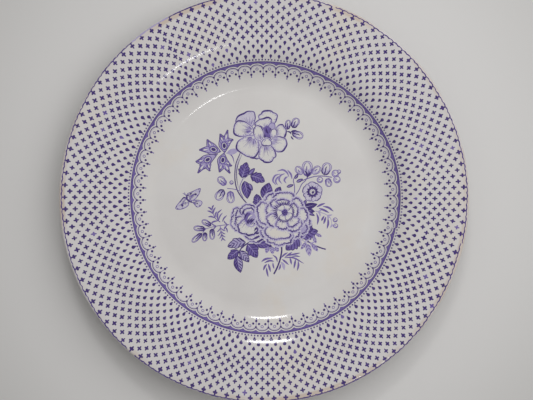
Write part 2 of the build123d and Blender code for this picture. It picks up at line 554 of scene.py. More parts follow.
def bump(tree, shader, value, strength, distance):
    """Bumps on the shader from a value."""
    node = tree.nodes.new("ShaderNodeBump")
    node.inputs["Strength"].default_value = strength
    node.inputs["Distance"].default_value = distance
    tree.links.new(value, node.inputs["Height"])
    tree.links.new(node.outputs["Normal"], shader.inputs["Normal"])


def from_centre(tree):
    """How far a point is from the plate's origin, in metres."""
    reach = over_object(tree, "ShaderNodeVectorMath")
    reach.operation = "LENGTH"
    return reach.outputs["Value"]


def glossy(shader, coat):
    """The gloss of fired glaze, with that much clear coat."""
    shader.inputs["IOR"].default_value = 1.5
    shader.inputs["Coat Weight"].default_value = coat
    shader.inputs["Coat Roughness"].default_value = 0.09


def tan_stains(tree):
    """Old stains that have crept under the glaze in a few wide patches."""
    return worked(
        tree,
        "MULTIPLY",
        map_range(tree, noise(tree, 26.0, 5.0, 0.6), 0.52, 0.72, 0.0, 1.0),
        map_range(tree, noise(tree, 9.0, 2.0), 0.45, 0.65, 0.0, 0.55),
    )


def lip_wear(tree, out):
    """Rubbed and browned stretches of the last millimetre or so before the lip."""
    return worked(
        tree,
        "MULTIPLY",
        map_range(tree, out, (PLATE_RADIUS - 1.7) * MM, (PLATE_RADIUS - 0.5) * MM, 0.0, 1.0),
        map_range(tree, noise(tree, 22.0, 4.0, 0.6), 0.44, 0.64, 0.05, 0.6),
    )


def iron_specks(tree):
    """Pinhead specks in the middle of a few chosen cells."""
    cells = over_object(tree, "ShaderNodeTexVoronoi")
    cells.inputs["Scale"].default_value = 160.0
    chosen = tree.nodes.new("ShaderNodeSeparateColor")
    tree.links.new(cells.outputs["Color"], chosen.inputs["Color"])
    return worked(
        tree,
        "MULTIPLY",
        map_range(tree, cells.outputs["Distance"], 0.02, 0.05, 1.0, 0.0),
        map_range(tree, chosen.outputs["Red"], 0.955, 0.96, 0.0, 0.8),
    )


def glaze_material():
    """Glossy off-white glaze, faintly mottled and stained, and hazed by the ink on the rim."""
    material, tree, shader = new_material("glaze")
    out = from_centre(tree)
    light, dark = linear(216, 214, 212), linear(209, 206, 204)
    colour = ramp(tree, noise(tree, 18.0, 4.0), [(0.35, dark), (0.65, light)])
    haze = map_range(tree, out, (BAND_FOOT - 6.0) * MM, BAND_OUTER * MM, 0.0, 0.45)
    for part, tint in (
        (haze, linear(204, 200, 203)),
        (tan_stains(tree), linear(214, 203, 188)),
        (lip_wear(tree, out), linear(190, 168, 146)),
        (iron_specks(tree), linear(96, 76, 60)),
    ):
        colour = mixed(tree, part, colour, tint)
    tree.links.new(colour, shader.inputs["Base Color"])
    scuffed = map_range(tree, out, BAND_OUTER * MM, BEADS * MM, 0.0, 0.02)  # on the rim, from stacking
    handled = map_range(tree, noise(tree, 60.0, 4.0), 0.3, 0.7, 0.08, 0.11)
    tree.links.new(worked(tree, "ADD", scuffed, handled), shader.inputs["Roughness"])
    glossy(shader, 0.2)
    bump(tree, shader, noise(tree, 240.0, 1.0), 0.012, 0.00005)
    return material


def body_material():
    """Bare biscuit: matt, cream, and grubby from years on shelves."""
    material, tree, shader = new_material("biscuit")
    grain = noise(tree, 1400.0, 4.0)
    clay = ramp(tree, grain, [(0.3, linear(198, 184, 160)), (0.7, linear(222, 212, 192))])
    grime = map_range(tree, noise(tree, 90.0, 5.0, 0.7), 0.5, 0.7, 0.0, 0.6)
    tree.links.new(mixed(tree, grime, clay, linear(140, 120, 98)), shader.inputs["Base Color"])
    tree.links.new(map_range(tree, grain, 0.3, 0.7, 0.75, 0.95), shader.inputs["Roughness"])
    bump(tree, shader, grain, 0.5, 0.0001)
    return material


# The lightest and the darkest tone of each ink
INKS = {
    "deep": (linear(76, 57, 126), linear(53, 35, 102)),
    "mid": (linear(121, 105, 170), linear(97, 80, 148)),
    "pale": (linear(180, 172, 204), linear(160, 150, 192)),
    "wash": (linear(203, 198, 212), linear(192, 186, 206)),
}
made_inks = {}


def ink_material(ink):
    """Violet-blue ink under the glaze, uneven as a transfer is, with the glaze's gloss."""
    if ink in made_inks:
        return made_inks[ink]
    material, tree, shader = new_material(f"ink_{ink}")
    light, dark = INKS[ink]
    uneven = noise(tree, 420.0, 5.0, 0.65)
    tree.links.new(ramp(tree, uneven, [(0.35, dark), (0.68, light)]), shader.inputs["Base Color"])
    tree.links.new(map_range(tree, noise(tree, 60.0, 4.0), 0.3, 0.7, 0.09, 0.12), shader.inputs["Roughness"])
    glossy(shader, 0.35)
    made_inks[ink] = material
    return material


def floor_material():
    """Plain pale studio floor, with painted shade that makes it a little darker away from the plate."""
    material, tree, shader = new_material("studio_floor")
    tone = ramp(tree, noise(tree, 1.5, 2.0), [(0.3, linear(212, 211, 210)), (0.7, linear(217, 216, 215))])
    # Painted shade: the floor's colour is darkened away from the plate, where the light falls off.
    away = map_range(tree, from_centre(tree), 0.13, 0.27, 0.0, 1.0)
    away.node.interpolation_type = "SMOOTHSTEP"
    tree.links.new(mixed(tree, away, tone, linear(191, 190, 188)), shader.inputs["Base Color"])
    shader.inputs["Roughness"].default_value = 0.8
    return material


# ---- Border ----


def on_radius(radius, turn):
    """A function that places (across, outwards) at that radius and angle."""
    c, s = cos(radians(turn)), sin(radians(turn))
    return lambda points: np.array([
        (c * (radius + out) - s * across, s * (radius + out) + c * across) for across, out in points
    ])


def arc(radius, turns):
    """Points at a radius, or at one radius for each, at those angles."""
    turns = np.radians(turns)
    return np.column_stack([radius * np.cos(turns), radius * np.sin(turns)])


def cross(half_width, half_height, waist, count=24):
    """A spot of four round arms, joined at a waist that is that part of their reach."""
    t = np.arange(count) / count * 2 * pi
    reach = waist + (1 - waist) * np.abs(np.cos(2 * t)) ** 1.4
    return np.column_stack([half_width * reach * np.cos(t), half_height * reach * np.sin(t)])


def round_spot(half_width, half_height, pinch, count=20):
    """A round spot, squarer where pinch is above 2 and more pointed where it is below."""
    t = np.arange(count) / count * 2 * pi
    c, s = np.cos(t), np.sin(t)
    reach = (np.abs(c) ** pinch + np.abs(s) ** pinch) ** (-1 / pinch)
    return np.column_stack([half_width * reach * c, half_height * reach * s])


def strip_drift(node, turn, radius):
    """How far outwards the strip lies from its true place.

    Its inner side was also pulled a little towards +X, and its outer side towards -X.
    """
    pulled = np.clip(0.015 * (108.0 - radius), -0.3, 0.3) * np.cos(np.radians(turn))
    return np.interp(turn, *zip(*ASKEW[node])) + pulled


def draw_spots(pen, node):
    """Rings of spots, each ring half a pitch on from the one before it."""
    first, last, start, pitch, _, _ = STRIPS[node]
    for ring in range(SPOT_RINGS):
        radius = OUTER_SPOTS - ring * SPOT_STEP
        begin = start + (pitch / 2 if ring % 2 else 0.0)
        begin -= ceil((begin - first) / pitch) * pitch
        for turn in np.arange(begin, last - JOIN_GAP, pitch):
            if turn > first + JOIN_GAP:
                draw_spot(pen, node, ring, radius, turn)


def draw_spot(pen, node, ring, radius, turn):
    """A cross, or a drop that points to the well. The outermost crosses reach out to the edge line."""
    vary = pen.random.uniform
    if ring < CROSS_RINGS:
        shape = cross(CROSS_HALF[0] * vary(0.9, 1.1), CROSS_HALF[1] * vary(0.9, 1.1), vary(0.36, 0.5))
    else:
        shape = round_spot(DROP_HALF[0] * vary(0.9, 1.1), DROP_HALF[1] * vary(0.9, 1.1), vary(1.6, 2.0))
        tail = np.clip(-shape[:, 1], 0, None)
        shape = shape * np.column_stack([1 - 0.45 * tail, 1 + 0.65 * tail])
    shape = shape * PRESS[node]
    if ring == 0:
        shape[:, 1] *= np.where(shape[:, 1] > 0, 1.3, 1.0)
    swing = radians(vary(-6, 6))
    shape = shape @ np.array([[cos(swing), sin(swing)], [-sin(swing), cos(swing)]])
    shape += (vary(-0.12, 0.12), vary(-0.15, 0.15))
    ink = "deep" if pen.random.random() < DEEP_SPOTS else "mid"
    pen.area(on_radius(radius + strip_drift(node, turn, radius), turn)(shape), ink)


def draw_edge_line(pen, node):
    """A scalloped line, uneven as it was drawn, lost in some places and smeared in one."""
    first, last, start, pitch, _, _ = STRIPS[node]
    turns = np.arange(first + 0.05, last - 0.02, pitch / 32)
    scallops = 0.42 * np.abs(np.sin(2 * pi * (turns - start) / pitch)) - 0.2
    wander = 0.1 * np.sin(turns / 3.1) + 0.08 * np.sin(turns / 1.3)
    radius = EDGE_LINE + strip_drift(node, turns, EDGE_LINE) + scallops + wander
    radius = np.minimum(radius, PLATE_RADIUS - 0.65)
    width = 0.62 + 0.14 * np.sin(turns * 1.7) + 0.1 * np.sin(turns * 5.1)
    smeared = (turns > EDGE_SMEARED[0]) & (turns < EDGE_SMEARED[1])
    unclear = smeared.copy()
    for lost_from, lost_to in EDGE_LOST:
        unclear |= (turns > lost_from) & (turns < lost_to)
    for skipped, inks in ((unclear, (("mid", 1.0), ("deep", 0.72))), (~smeared, (("pale", 1.25),))):
        begin = 0
        for k in range(1, len(turns) + 1):
            if k == len(turns) or skipped[k]:
                if k - begin > 4:
                    for ink, part in inks:
                        pen.line(arc(radius[begin:k], turns[begin:k]), width[begin:k] * part, ink)
                begin = k + 1


def draw_beads(pen, node):
    """A ring of small beads outside the band."""
    first, last, _, pitch, _, _ = STRIPS[node]
    vary = pen.random.uniform
    for turn in np.arange(first + 0.5, last - 0.3, pitch / 2.58):
        place = on_radius(BEADS + strip_drift(node, turn, BEADS), turn)
        shape = round_spot(0.52 * vary(0.85, 1.1), 0.52 * vary(0.85, 1.1), 2.6, 12)
        pen.area(place(shape), "deep" if pen.random.random() < DEEP_BEADS else "mid")


def draw_band(pen, node):
    """A band that swells between the arches, darker along both edges and hatched aslant."""
    first, last, _, _, start, pitch = STRIPS[node]
    turns = np.arange(first, last + 0.01, pitch / 24)
    turns[-1] = last
    drift = strip_drift(node, turns, BAND_OUTER)
    phase = ((turns - start) / pitch) % 1.0
    inner = BAND_FOOT + (BAND_CREST - BAND_FOOT) * (1 - np.abs(2 * phase - 1) ** 3.0)
    pen.ribbon(arc(BAND_OUTER + drift, turns), arc(inner + drift, turns), "mid")
    pen.line(arc(BAND_OUTER - 0.14 + drift, turns), 0.28, "deep")
    pen.line(arc(inner + 0.12 + drift, turns), 0.24, "deep")
    for turn in np.arange(first + 0.4, last - 0.4, pitch / 9):
        lean = pen.random.uniform(0.3, 0.45)
        place = on_radius(BAND_OUTER + strip_drift(node, turn, BAND_OUTER), turn)
        pen.line(place([(-lean, -0.1), (lean, -1.0)]), 0.18, "deep")


def draw_arches(pen, node):
    """Arches in line round the well, each over a ring and two dots, with a pendant where two arches meet."""
    first, last, _, _, start, pitch = STRIPS[node]
    begin = start - ceil((start - first) / pitch) * pitch
    for junction in np.arange(begin, last, pitch):
        turns = np.linspace(junction, junction + pitch, 25)
        turns = turns[(turns > first + 0.05) & (turns < last - 0.05)]
        if len(turns) > 3:
            phase = (turns - junction) / pitch * 2 - 1
            rise = 1 - np.abs(phase) ** 2.4
            radius = ARCH_FOOT + (ARCH_CREST - ARCH_FOOT) * rise + strip_drift(node, turns, ARCH_CREST)
            pen.line(arc(radius, turns), 0.46, "deep")
            pen.line(arc(radius - 0.65, turns), 0.2, "pale")
        draw_arch_ring(pen, node, junction + pitch / 2, pitch)
        if first + 0.6 < junction < last - 0.6:
            draw_pendant(pen, on_radius(ARCH_CREST + strip_drift(node, junction, ARCH_CREST), junction))


def draw_arch_ring(pen, node, middle, pitch):
    """A small ring under the middle of an arch, with a dot at each side, where they fit on the strip."""
    first, last = STRIPS[node][:2]
    vary = pen.random.uniform
    ring, dots = ARCH_CREST - 2.45, ARCH_CREST - 4.0
    if first + 0.6 < middle < last - 0.6:
        place = on_radius(ring + strip_drift(node, middle, ARCH_CREST), middle)
        pen.line(place(ellipse((0, 0), (0.8, 0.72), vary(-30, 30), 14)), 0.36, "mid", closed=True)
    for side in (-1, 1):
        turn = middle + side * pitch * 0.26
        if first + 0.5 < turn < last - 0.5:
            place = on_radius(dots + strip_drift(node, turn, ARCH_CREST), turn)
            pen.area(place(ellipse((0, 0), (0.76 * vary(0.88, 1.08), 0.72), 0, 12)), "deep")


def draw_pendant(pen, place):
    """Dots and a thin tip that hang from where two arches meet. Heights are from the arches' crest."""
    pen.line(place([(0, -2.2), (0.05, -3.4), (0, -5.4)]), [0.4, 0.3, 0.25], "mid")
    pen.area(place(ellipse((0, -2.0), (0.6, 0.62), 0, 12)), "deep")
    pen.line(place([(0, -5.4), (0, -6.4), (0, -7.6)]), [0.5, 0.5, 0.3], "mid")
    pen.area(place(ellipse((0, -7.1), (0.42, 0.4), 0, 10)), "mid")
    pen.area(place(ellipse((0, -5.7), (0.76, 0.76), 0, 14)), "deep")


# ---- Flowers, leaves and sprigs ----


def petal(pen, base, tip, width, lobes, cast, edge, hatched,
          depth=0.14, tint=None, egg=0.3, shade=0.6, nick=0.0):
    """A frilled petal, hatched in from its edge and out from its foot.

    It casts hatched shade on what is under it, as wide as cast. Its outline is as wide as edge, hatched is
    the part of its inner strokes that are drawn, depth is that of its lobes, tint fills it, egg narrows its
    foot, shade is the width of the wash along an unfilled one's edge, and nick is the depth of the small
    scallops in it.
    """
    place = between(base, tip, width / 2)
    vary = pen.random.uniform
    size = hypot(tip[0] - base[0], tip[1] - base[1])
    lean, uneven = vary(-0.12, 0.12), vary(0, 6)
    centre = place([0.5], [0.0])[0]

    def rim(t, grow=0.0):
        """Points of the rim, grown outwards, where t runs round from 0 at the foot to pi at the tip."""
        t = np.atleast_1d(t)
        off = t - pi + lean
        wave = np.abs(np.cos(off * lobes * 0.8) if lobes % 2 else np.sin(off * lobes * 0.8))
        frill = 1 - depth * (1 - wave**0.7) * np.clip(1.6 - 0.75 * np.abs(off), 0, 1)
        frill = frill + 0.02 * np.sin(8 * t + uneven)
        scallop = 1 - np.abs(np.cos(off * 0.4 * (width + size))) ** 0.7
        frill = frill - 4 * nick / (width + size) * scallop * np.clip(1.9 - 0.75 * np.abs(off), 0, 1)
        point = place(0.5 - 0.5 * np.cos(t) * frill, np.sin(t) * (1 - egg * np.cos(t)) * frill)
        out = point - centre
        reach = np.maximum(np.hypot(out[:, 0], out[:, 1]), 1e-6)[:, None]
        return point + out * np.maximum(grow / reach, -0.45)

    steps = 96 if nick else 48
    t = np.arange(steps) / steps * 2 * pi
    outline = rim(t)
    count = max(7, round((width + size) * 0.75))
    pen.area(rim(t, 1.25 * cast), "wash")
    pen.area(rim(t, 0.75 * cast), "pale")
    for across in np.linspace(-1, 1, round(1.7 * count)) + vary(-0.5, 0.5) / count:
        turn = pi - 2.3 * across
        ink = "deep" if vary(0, 1) < 0.4 else "mid"
        pen.line(np.vstack([rim(turn, -0.2), rim(turn, cast * vary(0.55, 0.95))]), [0.62, 0.16], ink)
    pen.area(outline, tint or "wash")
    if not tint:
        pen.area(rim(t, -shade), None)
    foot = place([0.04], [0.0])[0]
    for across in np.linspace(-1, 1, count):
        if vary(0, 1) < hatched:
            run = rim(pi - 1.9 * across)[0] - foot
            ink = "mid" if vary(0, 1) < 0.5 else "pale"
            stroke = [foot + run * 0.1, foot + run * 0.3, foot + run * vary(0.4, 0.75)]
            pen.line(stroke, [0.1, 0.36, 0.08], ink)
    for across in np.linspace(-1, 1, round(1.4 * count)):
        if vary(0, 1) < hatched:
            turn = pi - 2.3 * (across + vary(-0.3, 0.3) / count)
            ink = "mid" if vary(0, 1) < 0.3 else "pale"
            pen.line(np.vstack([rim(turn), rim(turn, -vary(0.8, 2.2))]), [0.38, 0.1], ink)
    swell = (0.9 + 0.3 * np.sin(t * 3 + uneven)) * np.clip(0.8 - 0.45 * np.cos(t), 0.35, 1.15)
    swell = np.append(swell, swell[0])
    pen.line(outline, edge * np.clip(swell * 1.2, 0.5, 2.0), "mid", closed=True)
    pen.line(outline, edge * np.clip(swell * 1.4 - 0.6, 0.0, 1.2), "deep", closed=True)


def leaf(pen, base, tip, width, teeth=0, bend=0.0, fill="mid", edge=0.5, veins=5, rib="deep", dark=0):
    """A pointed leaf, with teeth where they are asked for. One side, 1 or -1, may be the dark one."""
    place = between(base, tip, width / 2)
    count = max(12, 6 * teeth)
    u = np.linspace(0, 1, count + 1)
    half = np.sin(pi * u**0.85) ** 0.85
    if teeth:
        half = half * (1 + 0.34 * (u * teeth % 1.0) - 0.16)
    sway = bend * np.sin(pi * u)
    outline = np.vstack([place(u, sway + half), place(u, sway - half)[::-1][1:-1]])
    pen.area(outline, fill)
    if dark:
        side = np.vstack([place(u, sway + dark * half), place(u, sway)[::-1][1:-1]])
        pen.area(side, "deep")
    for k in range(veins):
        start = (k + 0.2) / (veins + 0.6)
        for side in (-1, 1):
            end = min(start + 0.24, 0.97)
            reach = 0.9 * np.sin(pi * end**0.85) ** 0.85 * side
            points = place([start, end], [bend * sin(pi * start), bend * sin(pi * end) + reach])
            middle = points.mean(axis=0) + (pen.random.uniform(-0.15, 0.15), pen.random.uniform(-0.15, 0.15))
            ink = "mid" if dark == side else rib
            pen.line([points[0], middle, points[1]], [0.3, pen.random.uniform(0.45, 0.8), 0.35], ink)
    spine = np.linspace(0.05, 0.75, 8)
    pen.line(place(spine, bend * np.sin(pi * spine)), np.linspace(0.4, 0.12, 8), "pale")
    if edge:
        pen.line(outline, edge, rib, closed=True)


def pointed_outline(base, tips, eye, body):
    """A leaf's outline round its eye: full curves out to each tip, and a sharp notch between two tips."""
    axis = (eye - base) / hypot(*(eye - base))
    across = np.array([-axis[1], axis[0]])
    side = 1.0 if (tips[0] - eye) @ across > 0 else -1.0
    bulges = [eye + across * body * side, eye + across * body * -side]
    waists = [(tip * 0.5 + bulge * 0.5) + axis * 0.4 for tip, bulge in zip((tips[0], tips[-1]), bulges)]
    runs = [smooth([base, bulges[0], waists[0], tips[0]], spans=5)]
    for tip, after in zip(tips, tips[1:]):
        notch = (tip + after) / 2 * 0.62 + eye * 0.38
        for start, end in ((tip, notch), (notch, after)):
            middle = (start + end) / 2
            runs.append(smooth([start, middle + (middle - eye) * 0.02, end], spans=4))
    runs.append(smooth([tips[-1], waists[1], bulges[1], base], spans=5))
    return np.vstack([run[:-1] for run in runs])


def lobed_leaf(pen, base, tips, eye):
    """A leaf of pointed lobes round a ringed eye, dark at its tips."""
    base, eye = np.array(base, float), np.array(eye, float)
    tips = [np.array(p, float) for p in tips]
    outline = pointed_outline(base, tips, eye, 3.1)
    pen.line(outline, 0.85, "deep", closed=True)
    pen.area(outline, "pale")
    for tip in tips:
        reach = tip - eye
        heart = eye + reach * 0.42
        middle = eye + reach * 0.62
        side = np.array([-reach[1], reach[0]]) * 0.05
        pen.line([heart, middle, tip], [0.3, 1.0, 0.3], None)
        pen.line([eye + reach * 0.68, tip], [0.2, 1.3], "deep")
        for off in (side * -2.2, side * 2.2):
            pen.dash([heart + off * 0.6, middle + off, tip], 0.7, "mid", spans=3)
            pen.dash([eye + off * 1.4, heart + off * 1.9, middle + off * 1.6], 0.5, "mid", spans=3)
    run = eye - base
    turn = np.degrees(np.arctan2(run[1], run[0]))
    pen.line(ellipse(eye, (2.5, 1.9), turn), 0.8, "mid", closed=True)
    pen.area(ellipse(eye, (2.0, 1.4), turn), None)
    pen.line(ellipse(eye, (1.3, 0.75), turn, 14), 0.6, "deep", closed=True)
    pen.area(ellipse(eye, (1.0, 0.5), turn, 12), "deep")
    pen.line([base - run * 0.1, base + run * 0.25], [0.5, 0.7], "mid")


def bud(pen, base, tip, width, sepals=3, heart="deep"):
    """A round bud in its sepals: two petals folded over a third, hatched up from the base."""
    place = between(base, tip, width / 2)
    t = np.arange(24) / 24 * 2 * pi
    outline = place(0.56 - 0.44 * np.cos(t), np.sin(t) * (1 - 0.15 * np.cos(t)))
    pen.area(outline, "wash")
    pen.area(place(0.66 - 0.26 * np.cos(t), 0.55 * np.sin(t) + 0.1), None)
    for k in range(5):
        across = (k - 2) / 2.2
        hatch = place([0.12, 0.32, 0.56], [0.4 * across, 0.75 * across, 0.85 * across])
        pen.dash(hatch, 0.42, "pale", spans=3)
    for side in (-1, 1):
        fold = place([0.2, 0.5, 0.8, 0.97], [0.2 * side, 0.72 * side, 0.5 * side, 0.05])
        pen.dash(fold, 0.42, "mid", spans=4)
    pen.line(outline, 0.36, "mid", closed=True)
    pen.dash(place([0.38, 0.55, 0.72], [0.1, 0.15, 0.05]), 0.62, heart, spans=3)
    for k in range(sepals):
        across = (k - (sepals - 1) / 2) * 1.5 / max(1, sepals - 1)
        pen.dash(place([0.0, 0.2, 0.5], [0.0, across * 0.9, across * 1.15]), 0.85, heart, spans=4)


def berry(pen, centre, radius):
    """A ringed berry, shaded at one side."""
    pen.area(ellipse(centre, (radius, radius)), "pale")
    x, y = centre
    pen.area(ellipse((x + 0.15 * radius, y + 0.1 * radius), (0.6 * radius, 0.65 * radius)), None)
    pen.line(ellipse(centre, (radius, radius), 0, 18), 0.34, "mid", closed=True)
    pen.dash([(x - 0.4 * radius, y + 0.3 * radius), (x + 0.1, y)], 0.5, "mid")
    low = y - 0.6 * radius
    pen.dash([(x - 0.5 * radius, low), (x + 0.3 * radius, low), (x + 0.75 * radius, y)], 0.55, "mid")


def sprig(pen, stem, count, length, ink="pale", angle=50.0, width=1.0):
    """A stem with slim leaflets in pairs, shorter towards the tip."""
    path = smooth(stem, spans=8)
    pen.line(path, np.linspace(0.55, 0.35, len(path)), ink)
    for k in range(count):
        at = int((0.15 + 0.85 * k / max(1, count - 1)) * (len(path) - 2))
        run = path[at + 1] - path[at]
        aim = np.arctan2(run[1], run[0])
        for side in (-1, 1):
            turn = aim + side * radians(angle) * (1 - 0.5 * k / count)
            size = length * (1 - 0.35 * k / count) * pen.random.uniform(0.85, 1.1)
            tip = path[at] + size * np.array([cos(turn), sin(turn)])
            bow = path[at] + size * 0.55 * np.array([cos(turn - side * 0.2), sin(turn - side * 0.2)])
            pen.dash([path[at], bow, tip], width, ink, spans=4)


def draw_bouquet(pen):
    """The bouquet, from what lies under to what lies over."""
    draw_stems(pen)
    draw_dark_leaves(pen)
    draw_sprigs(pen)
    draw_left_rose(pen)
    draw_big_rose(pen)
    draw_small_flower(pen)
    draw_top_flower(pen)


def draw_stems(pen):
    """The main stem, shaded along its inner side, and the thinner ones."""
    main = smooth([(-15.5, 29), (-18.3, 22), (-19.0, 15), (-18.6, 9), (-17, 4), (-14, -0.5), (-10, -5)])
    pen.line(main, np.interp(np.linspace(0, 1, len(main)), [0, 0.5, 1], [0.5, 0.75, 0.7]), "deep")
    pen.dash([(-14.2, 28.4), (-16.6, 22.6), (-17.8, 17), (-17.6, 11), (-16.6, 6)], 0.5, "deep", spans=8)
    pen.dash([(-15.2, 28), (-17.5, 22), (-18.4, 16)], 0.4, "pale", spans=8)
    pen.dash([(-25, 29), (-22, 28), (-20.3, 26), (-19.4, 22)], 0.7, "mid")
    for stem, width in (
        ([(11, -30), (11.3, -34), (10.7, -38), (9.6, -42), (8, -46), (6.2, -49.4)], 1.0),
        ([(25.5, -25.8), (29, -28.8), (33, -31), (36.5, -32.4), (39.8, -33.4)], 0.85),
        ([(-7.5, -28), (-11, -29.6), (-15, -33), (-16.5, -36)], 0.8),
        ([(19.6, 3), (19.5, 8), (18.8, 11), (20, 14)], 0.55),
        ([(28, 13.5), (26.6, 11), (24.3, 8.8), (22.5, 5), (20.5, 2)], 0.55),
        ([(24.5, 11), (28, 12.4), (33, 13.8), (38, 14), (43.8, 13.2)], 0.6),
        ([(-13.6, 12.5), (-15.6, 8), (-15.6, 4), (-13.6, 0)], 0.45),
        ([(-16.3, 4.6), (-20, 5.6), (-24, 6)], 0.45),
        ([(-13, 12.5), (-11, 14), (-8.5, 16)], 0.4),
    ):
        pen.line(smooth(stem), width, "mid" if width < 0.7 else "deep")


def draw_dark_leaves(pen):
    """The dark leaves, and the four lobed ones at the upper left."""
    leaf(pen, (-24, 28.8), (-16.3, 31), 3.4, fill="pale", rib="pale", edge=0.3, veins=3)
    leaf(pen, (-14.4, 13), (-11.4, 22.8), 6.8, teeth=4)
    leaf(pen, (-10, 15), (-6.2, 18.9), 2.4, veins=0)
    leaf(pen, (-8.8, 14.2), (0.2, 10.4), 6.4, teeth=3, bend=0.2)
    leaf(pen, (-12.8, 10.6), (-10.9, -0.5), 6.0, bend=0.15, dark=1)
    leaf(pen, (-10, 9), (-7.7, 4.8), 2.2, veins=0)
    leaf(pen, (-0.5, -0.5), (3.2, 9.6), 7.4, bend=-0.1, dark=1)
    leaf(pen, (7.8, 2), (10.4, 6.9), 4)
    leaf(pen, (-3.6, -5.4), (-5, 2.2), 5.8, teeth=2, dark=-1)
    leaf(pen, (24.6, -5.8), (27.2, -1.5), 2.2, veins=0)
    leaf(pen, (25, -6.4), (34.2, -4.2), 3.6, fill="deep")
    leaf(pen, (24, -7.2), (32.6, -9), 3.4, fill="deep")
    leaf(pen, (26.4, -8.4), (32.5, -11.6), 2.0, veins=0)
    leaf(pen, (22.3, -24.4), (34.6, -21.5), 8.2, teeth=5)
    leaf(pen, (25.5, -22.5), (29.9, -15.3), 7.8, teeth=3, dark=-1)
    leaf(pen, (22.5, -25.2), (14.2, -33.8), 8.8, teeth=5)
    leaf(pen, (19, -27), (12, -28.3), 4, teeth=2)
    leaf(pen, (-12.2, -28.8), (-23.6, -31.6), 6.4, teeth=3, bend=-0.25, fill="pale")
    leaf(pen, (-16.8, -34), (-23.6, -39.6), 5.4, teeth=2)
    leaf(pen, (-17.3, -37.6), (-15.3, -48.4), 5.6, bend=-0.15, veins=5, fill="pale", dark=-1)
    leaf(pen, (-15.6, -34.4), (-9.9, -41.6), 4.8, fill="pale")
    leaf(pen, (-10.8, -30.2), (-4.6, -38.6), 7.4, teeth=3, bend=0.1)
    leaf(pen, (-7.8, -28.2), (5, -31.4), 5, bend=-0.1)
    for tips, base, eye in (
        ([(-36.9, 37.6), (-42, 30.9)], (-28.3, 29.8), (-32.8, 31.2)),
        ([(-20.2, 37.6), (-23.7, 43.7), (-28.5, 41.2)], (-25.6, 29.3), (-25.9, 33.6)),
        ([(-44.2, 23.3), (-42.9, 16), (-35.2, 17.3)], (-30.6, 28), (-36.6, 24.6)),
        ([(-29, 16.6), (-22.2, 15.8), (-21, 20.6)], (-26, 28.8), (-26.8, 24.4)),
    ):
        lobed_leaf(pen, base, tips, eye)


